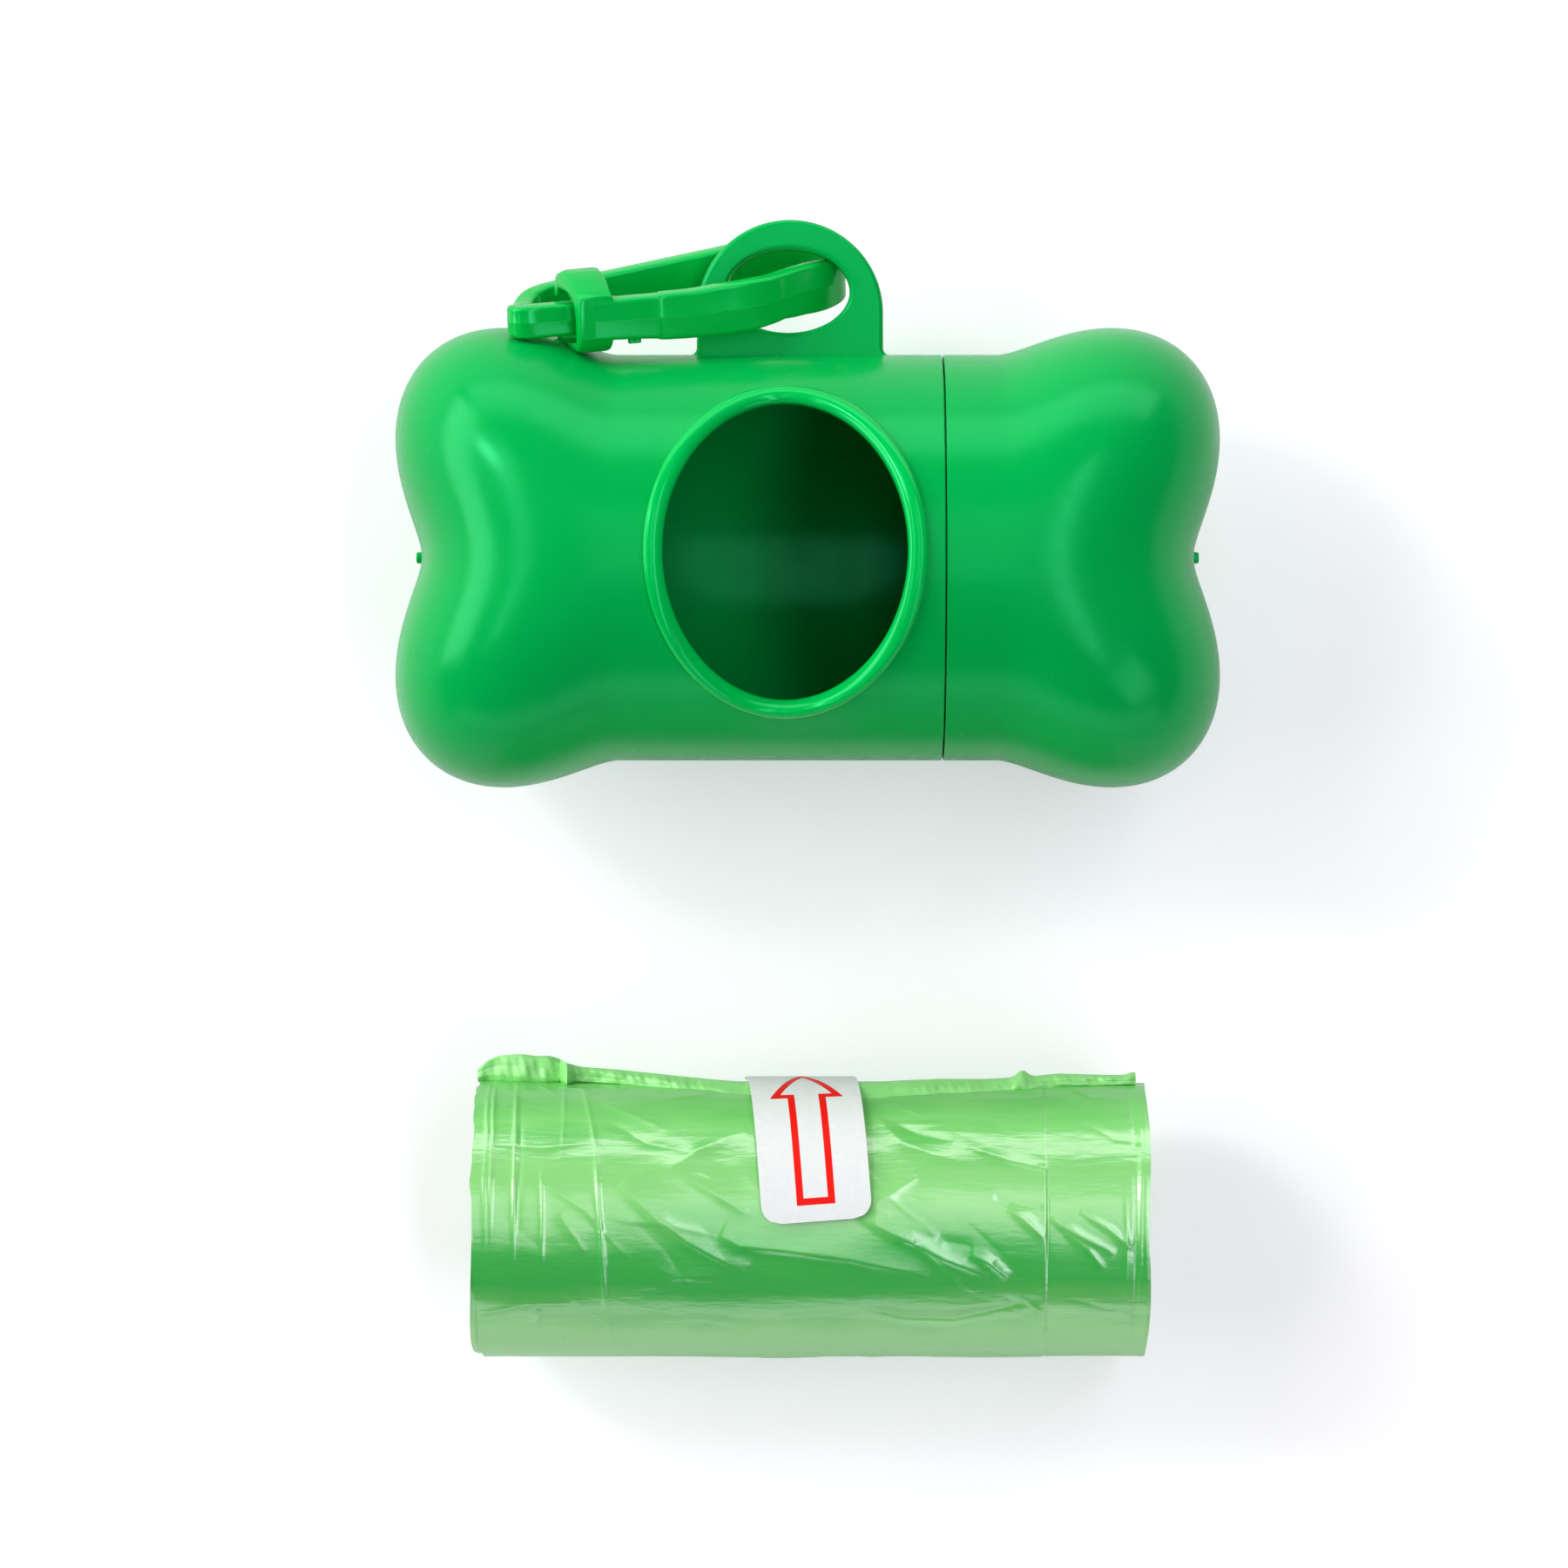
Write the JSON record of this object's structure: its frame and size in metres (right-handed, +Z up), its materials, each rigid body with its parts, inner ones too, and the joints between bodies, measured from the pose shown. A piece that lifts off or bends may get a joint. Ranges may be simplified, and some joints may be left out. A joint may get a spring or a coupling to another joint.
{
  "type": "dog waste bag dispenser",
  "caption": "Bone-shaped dog waste bag dispenser with a pull-off end cap, an oval outlet and a snap hook, lying beside its roll of bags.",
  "frame": {"origin": "centre of the whole set's footprint, on the table that the dispenser and the roll lie on", "axes": "+X along the dispenser from its body to its cap, +Y from the roll of bags to the dispenser's eyelet, +Z up from the table, out of the outlet"},
  "size_m": [0.079, 0.11, 0.0398],
  "materials": {
    "shell_plastic": "satin",
    "ring_plastic": "gloss",
    "hook_plastic": "gloss",
    "core_board": "matte",
    "bag_film": "satin",
    "label_paper": "matte"
  },
  "bodies": {
    "dispenser": {"body_shell": "shell_plastic", "outlet_ring": "ring_plastic"},
    "cap": {"end_cap": "shell_plastic"},
    "hook": {"hook_loop": "hook_plastic"},
    "spring_arm": {"hook_arm": "hook_plastic"},
    "bag_roll": {"roll_core": "core_board", "roll_film": "bag_film", "outer_bag": "bag_film", "free_edge": "bag_film", "roll_label": "label_paper"}
  },
  "joints": [
    {"name": "cap_pull", "type": "slide", "parent": "dispenser", "child": "cap", "axis": [1, 0, 0], "range_m": [0, 0.03]},
    {"name": "hook_swing", "type": "hinge", "parent": "dispenser", "child": "hook", "pos_m": [-0.00126, 0.04963, 0.0195], "axis": [0, 0, 1], "range_deg": [-105, 0]},
    {"name": "arm_press", "type": "hinge", "parent": "hook", "child": "spring_arm", "pos_m": [-0.02807, 0.04601, 0.02406], "axis": [-0.0275, 0.9538, 0.2992], "range_deg": [0, 18], "stiffness_Nm_per_rad": 0.05, "springref_deg": -5.73},
    {"name": "roll_lift", "type": "slide", "parent": "dispenser", "child": "bag_roll", "axis": [0, 0, 1], "range_m": [0, 0.06]}
  ]
}
